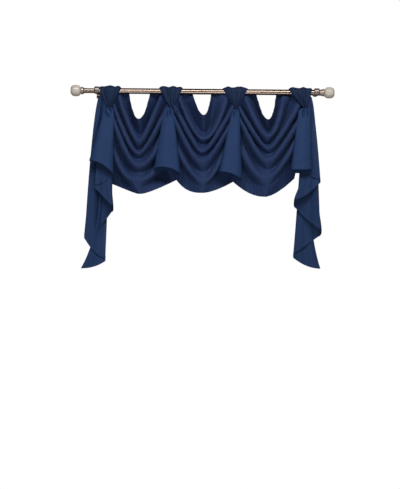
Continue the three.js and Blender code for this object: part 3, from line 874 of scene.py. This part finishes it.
def tail_grid(name):
    """Columns across each layer and round each turn, from the front layer's free edge to the back one's."""
    folds = tail_tables[name]
    outer = np.sign(folds[0]["x"])
    down = np.linspace(0, 1, tail_rows)
    spread = smooth(down * spread_pace)
    opened = smooth((down - flare_from) / (1 - flare_from))
    hanging = 1 - smooth((down - belly_until) / (1 - belly_until))
    fold_x = [fold_path(fold, outer if i % 2 else -outer, down) for i, fold in enumerate(folds)]
    turns = [mix(tail_top_pitch, mix(fold["turn_up"], fold["turn"], opened), spread) for fold in folds]
    bulges = [np.minimum(turn / 2, widest_turn) * (fold["turn"] > 0) for turn, fold in zip(turns, folds)]
    columns = []
    for layer, (a, b) in enumerate(zip(folds, folds[1:])):
        travel = outer if layer % 2 == 0 else -outer
        start, end = fold_x[layer] + travel * bulges[layer], fold_x[layer + 1] - travel * bulges[layer + 1]
        top_y = tail_top_y + layer * tail_top_pitch
        for s in np.linspace(0, 1, layer_columns):
            crossed = smooth((s - b["step"]) / b["ease"] + 0.5)
            hem_y = mix(a["y"] + (turns[layer] if layer else 0), b["y"], crossed)
            belly = mix(a["belly"], b["belly"], crossed) * hanging
            flute = flute_height * math.sin(2 * math.pi * flutes_across * s + layer) * math.sin(math.pi * s)
            hollow = b["hollow"] * math.sin(math.pi * s)
            y = mix(top_y, hem_y - flute + belly + hollow, spread)
            hem = mix(a["z"] - a["drop"], b["z"], 1 - (1 - s) ** b["flatten"])
            columns.append(np.stack([mix(start, end, s), y, mix(tail_top_z, hem, down)], axis=1))
        if b is folds[-1]:
            break
        for turn in np.pi * np.arange(1, turn_columns) / turn_columns:
            x = end + travel * bulges[layer + 1] * np.sin(turn)
            back = (1 - np.cos(turn)) / 2
            hem_y = b["y"] + turns[layer + 1] * back + b["belly"] * hanging
            y = mix(top_y + tail_top_pitch * back, hem_y, spread)
            columns.append(np.stack([x, y, mix(tail_top_z, b["z"] - b["drop"] * back, down)], axis=1))
    grid = np.array(columns).transpose(1, 0, 2)
    return (grid[:, ::-1] if outer < 0 else grid) * mm


def swayed(grid, seed, height=1.2, grown_by=0.2):
    """A tail moved in and out by slow upright waves of a height in mm, grown by so many metres down."""
    sway = ripple(grid[..., 0] * 60, grid[..., 2] * 9, seed) * height * mm
    grid[..., 1] -= sway * smooth(-grid[..., 2] / grown_by)
    return grid


for seed, name in enumerate(tail_tables, 60):
    grid = creased(name, swayed(tail_grid(name), seed))
    cloth_from(name, grid, hem_thickness(grid))

# %% [markdown]
# ## Metal and glass finishes
# The rod is brushed nickel with a warm cast. The collars at its ends are paler and duller, its brackets are
# greyer, and the end balls are smoky crackled glass. Brushing is a noise stretched along the rod, so one
# recipe serves all three metals with different tones. The crackle comes from the borders between Voronoi
# cells, twice over at two sizes.

# %% Metal and glass
brush_streaks = (6, 1500, 1500)  # how many times a metre the brushing changes, along the rod and across it


def metal_finish(name, dark, light, roughness):
    """Brushed metal whose tone wanders between two colours."""
    metal = Finish(name)
    place = metal.place()
    brushing = metal.noise(metal.scaled(place, brush_streaks), scale=1.0, detail=3.0, roughness=0.6)
    smudges = metal.noise(place, scale=24.0, detail=3.0)
    wear = metal.noise(place, scale=160.0, detail=4.0, roughness=0.65)
    tone = brushing * 0.4 + smudges * 0.4 + wear * 0.2
    return metal.shade(
        Base_Color=metal.mix(tone, (*dark, 1), (*light, 1)),
        Metallic=1.0,
        Roughness=roughness + smudges * 0.08 + brushing * 0.05,
        Normal=metal.bump(brushing, distance=0.002 * mm, strength=0.1),
    )


crack_cells = (7 * mm, 3.2 * mm)  # the sizes of the pieces between the cracks


def glass_finish():
    """Smoky glass with two sizes of pale cracks, rougher along them."""
    glass = Finish("crackled smoky glass")
    place = glass.place()
    cracks = []
    for cell in crack_cells:
        cells = {"Vector": place, "Scale": 1 / cell}
        border = glass.node("ShaderNodeTexVoronoi", cells, feature="DISTANCE_TO_EDGE")
        cracks.append(1 - (border * 14).held())  # a crack's half width is a fourteenth of a cell
    crackle = cracks[0] * 0.65 + cracks[1] * 0.35
    smoke = glass.noise(place, scale=60.0, detail=3.0)
    body = glass.mix(smoke, (0.66, 0.60, 0.50, 1), (0.96, 0.92, 0.82, 1))
    return glass.shade(
        Base_Color=glass.mix(crackle * 0.6, body, (0.94, 0.92, 0.84, 1)),
        Transmission_Weight=0.2,
        IOR=1.46,
        Roughness=0.08 + crackle * 0.32,
        Normal=glass.bump(crackle, distance=0.35 * mm, strength=0.7),
    )


rod_metal = metal_finish("warm brushed nickel", (0.18, 0.135, 0.105), (0.36, 0.288, 0.235), 0.13)
finial_metal = metal_finish("warm brushed nickel, finials", (0.32, 0.26, 0.215), (0.62, 0.53, 0.46), 0.36)
bracket_metal = metal_finish("dark nickel", (0.17, 0.15, 0.135), (0.42, 0.385, 0.35), 0.36)
ball_glass = glass_finish()
print("finishes:", [finish.name for finish in (rod_metal, finial_metal, bracket_metal, ball_glass)])

# %% [markdown]
# ## The rod, its finials and its brackets
# Everything hard here can be turned on a lathe: two tubes that slide into one another, two collars, two
# glass balls, and the rings, arms and plates of the brackets. The CAD solids have few sides, so each is
# turned again from a finer profile, at the place that its CAD box gives. Each profile is a list of distances
# along the axis and radii, in millimetres.

# %% Turning
turned_sides = 96
hard_edge = math.radians(32)
hard_pieces = {}  # each hard piece and its slot, by the CAD node that it stands for


def turned(profile, start, axis, lifts):
    """Points and faces of a profile turned round an axis through start, with its rings raised by lifts."""
    turn = np.linspace(0, 2 * np.pi, turned_sides, endpoint=False)
    along, radius = (np.array(column, float)[:, None] * mm for column in zip(*profile))
    around = np.array([along + 0 * turn, radius * np.cos(turn), radius * np.sin(turn)])
    points = np.stack(np.roll(around, "XYZ".index(axis), axis=0), axis=2)
    points[..., 2] += np.reshape(lifts, (-1, 1)) * mm
    faces = []
    for here in range(0, (len(profile) - 1) * turned_sides, turned_sides):
        for i in range(turned_sides):
            j = (i + 1) % turned_sides
            faces.append([here + i, here + j, here + turned_sides + j, here + turned_sides + i])
    return points.reshape(-1, 3) + np.array(start), faces


def closed_shape(profile, start, axis="X", lifts=0):
    """A turned shape whose profile starts and ends on the axis, or comes back to its first point."""
    points, faces = turned(profile, start, axis, lifts)
    last = len(points) - turned_sides
    if profile[0][1] > 0:
        return points[:last], [[v - last if v >= last else v for v in face] for face in faces]
    keep = np.concatenate([[0], np.arange(turned_sides, last + 1)])
    number = np.zeros(len(points), int)
    number[keep] = np.arange(len(keep))
    number[last:] = number[last]
    return points[keep], [list(dict.fromkeys(number[face].tolist())) for face in faces]


def facing_out(points, faces):
    """Faces turned so that the shape's volume is positive."""
    volume = 0
    for face in faces:
        for k in range(1, len(face) - 1):
            volume += np.dot(points[face[0]], np.cross(points[face[k]], points[face[k + 1]]))
    return faces if volume > 0 else [face[::-1] for face in faces]


def hard_piece(node, shapes, material, slot):
    """One piece made of closed shapes, to stand for a CAD node."""
    points, faces = np.empty((0, 3)), []
    for shape_points, shape_faces in shapes:
        for face in facing_out(shape_points - shape_points.mean(axis=0), shape_faces):
            faces.append([v + len(points) for v in face])
        points = np.concatenate([points, shape_points])
    mesh = mesh_from(node, points, faces, sharp=hard_edge)
    hard_pieces[node] = dict(shown=piece(node + "_shown", mesh, material), slot=slot)
    print(f"{node}: {len(mesh.polygons)} faces")


# %% Tubes
tube_wall = 0.9
fit_gap = 0.3  # between parts that meet
inner_low, inner_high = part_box("rod_inner")
tube_radii = {"left": (inner_high.z - inner_low.z) / 2 / mm, "right": rod_radius / mm}


def tube(low, high):
    """A tube with slightly rounded mouths, the size of a CAD box."""
    radius, length = (high.z - low.z) / 2 / mm, (high.x - low.x) / mm
    bore, ease = radius - tube_wall, 0.25
    mouth = [(ease, bore), (0, bore + ease), (0, radius - ease), (ease, radius)]
    middle = [(length / 2, radius), (length / 2, bore)]
    far_mouth = [(length - along, radius) for along, radius in reversed(mouth)]
    return closed_shape(mouth + middle[:1] + far_mouth + middle[1:] + mouth[:1], (low.x, rod_y, 0))


hard_piece("rod_outer", [tube(rod_low, rod_high)], rod_metal, "rod_metal")
hard_piece("rod_inner", [tube(inner_low, inner_high)], rod_metal, "rod_metal")

# %% Finial collars and balls
collar_plug, collar_length = 14, 16
ball_radius, ball_length, ball_squareness = 22, 41, 0.62  # a squareness of 1 is a round section
ball_rings = 44
facet_depth = 1.1
facet_share = 0.62  # what a point's reach along the axis, and its reach out from it, each add to a corner
facet_from, facet_ease = 0.72, 0.15  # the corner value at which a facet starts, and over what it deepens


def collar_profile(tube_radius):
    """A plug inside the tube, a rounded flange against its mouth, and a cup that flares to the ball."""
    plug, lip = tube_radius - tube_wall - fit_gap, tube_radius + 1
    profile = [(-collar_plug, 0), (-collar_plug, plug - 0.6), (-collar_plug + 0.6, plug), (0, plug)]
    profile += [(0, lip - 0.5), (0.5, lip), (1.5, lip + 0.45), (2.6, lip + 0.3), (3.1, lip - 0.35)]
    profile += [(3.5, lip - 0.5)]
    flare = [(3.9, lip - 0.35), (5.2, 11.6), (7, 12.5), (9, 13.4), (11, 13.95), (12.2, 14.1), (12.6, 13.8)]
    profile += [(along, max(radius, lip - 0.35)) for along, radius in flare]
    profile += [(13, 14.2), (13.6, 14.8), (14.4, 15), (15.3, 14.9), (15.9, 14.4)]
    return profile + [(collar_length, 13.8), (collar_length, 0)]


def ball_shape(start, side):
    """A ball with a squarish section and eight soft facets round each end."""
    profile = [(0, 0)]
    for turn in math.pi * np.arange(1, ball_rings) / ball_rings:
        half = math.copysign(abs(math.cos(turn)) ** ball_squareness, math.cos(turn)) / 2
        profile.append((side * ball_length * (0.5 - half), ball_radius * math.sin(turn) ** ball_squareness))
    profile.append((side * ball_length, 0))
    points, faces = closed_shape(profile, (0, 0, 0))
    middle = np.array([side * ball_length * mm / 2, 0, 0])
    away = points - middle
    x, y, z = unit(away).T
    corner = np.abs(x) * facet_share + np.hypot(y, z) * facet_share
    lobes = np.cos(4 * np.arctan2(z, y)) ** 2
    cut = facet_depth * mm * smooth((corner - facet_from) / facet_ease) * mix(0.45, 1, lobes)
    return middle + unit(away) * (np.linalg.norm(away, axis=1) - cut)[:, None] + np.array(start), faces


for label, side in (("left", -1), ("right", 1)):
    low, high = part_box(f"finial_collar_{label}")
    flange_x = (high.x if side < 0 else low.x) + side * collar_plug * mm
    profile = [(side * along, radius) for along, radius in collar_profile(tube_radii[label])]
    collar = closed_shape(profile, (flange_x, rod_y, 0))
    hard_piece(f"finial_collar_{label}", [collar], finial_metal, "rod_metal")
    low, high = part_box(f"finial_ball_{label}")
    ball = ball_shape((high.x if side < 0 else low.x, rod_y, 0), side)
    hard_piece(f"finial_ball_{label}", [ball], ball_glass, "ball_glass")

# %% Brackets and wall plates
ring_radius, ring_half, ring_rise = 14.5, 10, 2.5
arm_radius, boss_length, plate_radius, plate_thickness = 6, 6, 13, 5
arm_rise = 6 * mm  # the arm and its plate sit a little above the rod's middle


def ring_shape(x, bore):
    """A ring round the tube, with rounded edges and a groove round its middle. Its outside is set high."""
    half = [(-ring_half, bore), (-ring_half, ring_radius - 2.6), (-ring_half + 0.8, ring_radius - 1.2)]
    half += [(-ring_half + 2, ring_radius - 0.3), (-ring_half + 3.2, ring_radius), (-2.2, ring_radius)]
    half += [(-1.8, ring_radius - 0.45)]
    profile = half + [(-along, radius) for along, radius in reversed(half)] + half[:1]
    lifts = [0 if radius == bore else ring_rise for along, radius in profile]
    return closed_shape(profile, (x, rod_y, 0), "X", lifts)


def arm_shape(x, bore):
    """An arm from the ring to the wall plate, where it ends in a flared boss."""
    front, back = rod_y / mm + bore + 1.2, -plate_thickness - fit_gap
    boss = back - boss_length
    profile = [(front, 0), (front, arm_radius), (boss - 2, arm_radius), (boss, arm_radius + 0.6)]
    profile += [(boss + 1, arm_radius + 1.6), (back - 1, arm_radius + 3), (back, arm_radius + 2.6)]
    profile += [(back, 0)]
    return closed_shape(profile, (x, 0, arm_rise), "Y")


def plate_shape(x):
    """A round plate on the wall with a domed front edge."""
    front, rim = -plate_thickness, plate_radius
    profile = [(front, 0), (front, rim - 2.6), (front + 0.5, rim - 1.7), (front + 1.6, rim - 0.7)]
    profile += [(front + 3, rim - 0.1), (-0.4, rim), (0, rim - 0.4), (0, 0)]
    return closed_shape(profile, (x, 0, arm_rise), "Y")


for label, tube_radius in tube_radii.items():
    low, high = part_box(f"bracket_{label}")
    x, bore = (low.x + high.x) / 2, tube_radius + fit_gap
    hard_piece(f"bracket_{label}", [ring_shape(x, bore), arm_shape(x, bore)], bracket_metal, "bracket_metal")
    hard_piece(f"bracket_plate_{label}", [plate_shape(x)], bracket_metal, "bracket_metal")

# %% [markdown]
# ## The clamp screw and its knurls
# A thumb screw under the left ring holds the thin tube. Its head is knurled, so that fingers can turn it.
# The stem and head are turned like the rest. Equal ridges round a circle are a job for Geometry Nodes: one
# circle, one small bar, and the bar set on each point of the circle and turned to face outwards.

# %% A Geometry Nodes tree in a few calls
class Layout(Graph):
    """A Geometry Nodes tree with named inputs, run once on a mesh and kept as a plain piece."""

    def __init__(self, name, **sizes):
        super().__init__(bpy.data.node_groups.new(name, "GeometryNodeTree"))
        self.sizes = sizes
        self.identifiers = {}
        self.tree.interface.new_socket("Geometry", in_out="INPUT", socket_type="NodeSocketGeometry")
        for label, size in sizes.items():
            kind = "NodeSocketInt" if isinstance(size, int) else "NodeSocketFloat"
            socket = self.tree.interface.new_socket(label, in_out="INPUT", socket_type=kind)
            self.identifiers[label] = socket.identifier
        self.tree.interface.new_socket("Geometry", in_out="OUTPUT", socket_type="NodeSocketGeometry")
        self.entry = self.node("NodeGroupInput", output="Geometry")

    def size(self, label):
        return self.entry.beside(label)

    def repeat(self, points, shape, turn):
        """A copy of shape on each point, turned by a rotation."""
        sockets = {"Points": points, "Instance": shape, "Rotation": turn}
        return self.node("GeometryNodeInstanceOnPoints", sockets)

    def piece_on(self, mesh, name, shape, material):
        """Ends the tree with shape, runs it on a mesh and gives the result as a piece."""
        real = self.node("GeometryNodeRealizeInstances", {"Geometry": shape})
        coloured = self.node("GeometryNodeSetMaterial", {"Geometry": real, "Material": material})
        self.node("NodeGroupOutput", {"Geometry": coloured})
        source = bpy.data.objects.new(name + "_source", mesh)
        scene.collection.objects.link(source)
        modifier = source.modifiers.new("layout", "NODES")
        modifier.node_group = self.tree
        for label, size in self.sizes.items():
            modifier[self.identifiers[label]] = size
        made = bpy.data.meshes.new_from_object(source.evaluated_get(bpy.context.evaluated_depsgraph_get()))
        bpy.data.objects.remove(source)
        made.name = name
        print(name, "has", len(made.polygons), "faces")
        return piece(name, made, material)


# %% The screw
screw_low, screw_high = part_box("bracket_screw_left")
screw_x = (screw_low.x + screw_high.x) / 2
screw_length = (screw_high.z - screw_low.z) / mm
stem_length, stem_radius, head_radius = 3, 2, 4.6
head, foot = -stem_length, -screw_length
profile = [(0, 0), (0, stem_radius), (head, stem_radius), (head - 0.2, 3.2), (head - 1, 3.9)]
profile += [(head - 2.4, head_radius - 0.3), (head - 3, head_radius), (foot + 3, head_radius)]
profile += [(foot + 2.4, head_radius - 0.3), (foot + 1, 3.9), (foot + 0.3, 3.2), (foot, 2.4), (foot, 0)]
screw = closed_shape(profile, (screw_x, rod_y, screw_high.z), "Z")
hard_piece("bracket_screw_left", [screw], rod_metal, "rod_metal")

# %% Its knurls
knurls = Layout("knurls", Ridges=28, Radius=head_radius * mm, Length=8.4 * mm, Width=0.5 * mm)
count, width = knurls.size("Ridges"), knurls.size("Width")
circle = knurls.node("GeometryNodeMeshCircle", {"Vertices": count, "Radius": knurls.size("Radius")})
bar = knurls.node("ShaderNodeCombineXYZ", {0: width, 1: width, 2: knurls.size("Length")})
ridge = knurls.node("GeometryNodeMeshCube", {"Size": bar})
angle = knurls.node("GeometryNodeInputIndex") * (2 * math.pi) / count
round_axis = knurls.node("ShaderNodeCombineXYZ", {2: angle})
turn = knurls.node("FunctionNodeEulerToRotation", {0: round_axis})
ridges = knurls.repeat(circle, ridge, turn)
head_middle = (screw_x, rod_y, screw_high.z - (screw_length + stem_length) / 2 * mm)
placed = knurls.node("GeometryNodeTransform", {"Geometry": ridges, "Translation": head_middle})
screw_knurls = knurls.piece_on(bpy.data.meshes.new("start"), "bracket_screw_left_knurls", placed, rod_metal)

# %% [markdown]
# ## Hem stitches
# Each hem is turned up and sewn with a straight stitch. A line of stitches runs a fixed height above the
# hem, so its path is read from the cloth's own grid, once on the front and once on the back. Geometry Nodes
# then make the path a curve and set one short thread every few millimetres, each laid along the curve.

# %% Thread
def thread_finish():
    """Twisted thread, a little lighter than the cloth."""
    thread = Finish("navy thread")
    place = thread.place()
    twist = thread.noise(place, scale=1800.0, detail=1.0)
    tone = thread.noise(place, scale=40.0, detail=2.0) * 0.5 + twist * 0.5
    return thread.shade(
        Base_Color=thread.mix(tone, (0.016, 0.034, 0.098, 1), (0.034, 0.072, 0.180, 1)),
        Roughness=0.45 + twist * 0.2,
        Normal=thread.bump(twist, distance=0.08 * mm, strength=0.4),
    )


navy_thread = thread_finish()

# %% Stitches above a hem
stitch_height = hem_height - stitch_inset
stitch_lift = 0.05 * mm  # how far a stitch's middle lies off the cloth
unsewn_columns = 2  # at either end of a hem


def seam_line(grid, side):
    """Points on the front (side 1) or back (side -1) of a cloth, at the stitches' height above the hem."""
    up = lengths_along(grid, 0)
    from_hem = up[-1] - up
    skin = grid + normals_of(grid) * (side * (hem_thickness(grid) / 2 + stitch_lift))[..., None]
    line = []
    for column in range(unsewn_columns, grid.shape[1] - unsewn_columns):
        heights, places = from_hem[::-1, column], skin[::-1, column]
        line.append([np.interp(stitch_height, heights, places[:, k]) for k in range(3)])
    return line


def stitches_on(node):
    """The stitches on the front and back of a cloth, as one piece."""
    points, edges = [], []
    for side in (1, -1):
        line = seam_line(cloths[node]["grid"], side)
        edges += [(len(points) + i, len(points) + i + 1) for i in range(len(line) - 1)]
        points += line
    seam = bpy.data.meshes.new(node + "_seam")
    seam.from_pydata(points, edges, [])
    sewn = Layout(node + " stitches", Pitch=3.4 * mm, Stitch=2.4 * mm, Thread=0.25 * mm)
    curve = sewn.node("GeometryNodeMeshToCurve", {"Mesh": sewn.entry})
    steps = {"Curve": curve, "Length": sewn.size("Pitch")}
    places = sewn.node("GeometryNodeCurveToPoints", steps, mode="LENGTH")
    tangent = {"Vector": places.beside("Tangent")}
    along = sewn.node("FunctionNodeAlignRotationToVector", tangent, axis="Z")
    thread_sizes = {"Vertices": 6, "Radius": sewn.size("Thread"), "Depth": sewn.size("Stitch")}
    thread = sewn.node("GeometryNodeMeshCylinder", thread_sizes)
    return sewn.piece_on(seam, node + "_stitches", sewn.repeat(places, thread, along), navy_thread)


stitches = {node: stitches_on(node) for node in cloths if not node.startswith("tab")}

# %% [markdown]
# ## What each piece stands for
# Every piece rides on the one body, and all but the stitches and knurls take the place of a CAD solid, which
# is hidden.

# %% Bodies and CAD pieces
for node, cloth in cloths.items():
    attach(cloth["shown"], "root")
    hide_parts(node)

for sewn in stitches.values():
    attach(sewn, "root")

for node, hard in hard_pieces.items():
    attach(hard["shown"], "root")
    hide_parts(node)

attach(screw_knurls, "root")

for node, cloth in cloths.items():
    kind = node.split("_")[0]
    rests_on = [node.replace("horn", "tab")] if kind == "horn" else ["rod_outer"]
    sewn_on = [stitches[node]] if node in stitches else []
